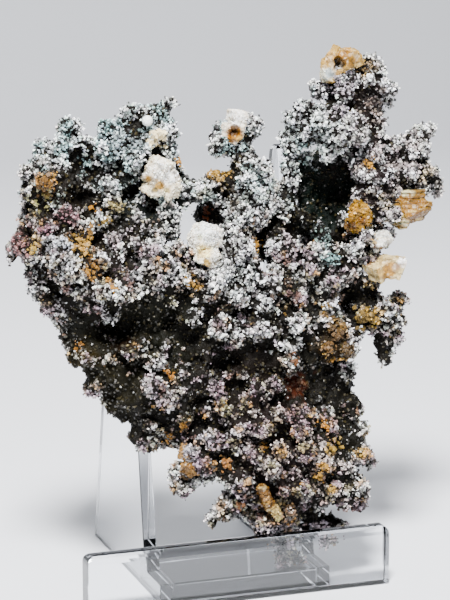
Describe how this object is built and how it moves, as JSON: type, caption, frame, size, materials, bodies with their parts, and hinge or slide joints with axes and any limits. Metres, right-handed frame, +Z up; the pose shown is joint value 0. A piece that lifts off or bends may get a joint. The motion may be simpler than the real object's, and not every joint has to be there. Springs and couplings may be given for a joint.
{
  "type": "native copper specimen",
  "caption": "Branching native copper specimen crusted with small knobs and calcite crystals, leaning on a clear acrylic easel with a front lip.",
  "frame": {"origin": "on the table under the middle of the easel's front lip", "axes": "+Z up, -Y out of the front lip towards the viewer, +X to the viewer's right"},
  "size_m": [0.147, 0.0828, 0.1703],
  "materials": {
    "crusted_copper": "craggy crust of pale grey and white grains over dark brown and green-black copper",
    "cream_calcite": "cream to yellow calcite with flat shining faces",
    "orange_calcite": "iron-stained orange calcite",
    "clear_acrylic": "polished clear sheet"
  },
  "bodies": {
    "root": {"native_copper": "crusted_copper", "top_crystals": "cream_calcite", "spire_crystals": "cream_calcite", "left_tower_crystals": "cream_calcite", "white_dome": "cream_calcite", "layered_crystal": "cream_calcite", "upper_side_crystal": "cream_calcite", "large_side_crystal": "cream_calcite", "orange_crystals": "orange_calcite", "peach_crystals": "orange_calcite", "orange_blade": "orange_calcite", "front_lip": "clear_acrylic", "shelf": "clear_acrylic", "left_side_plate": "clear_acrylic", "right_side_plate": "clear_acrylic"}
  },
  "joints": []
}
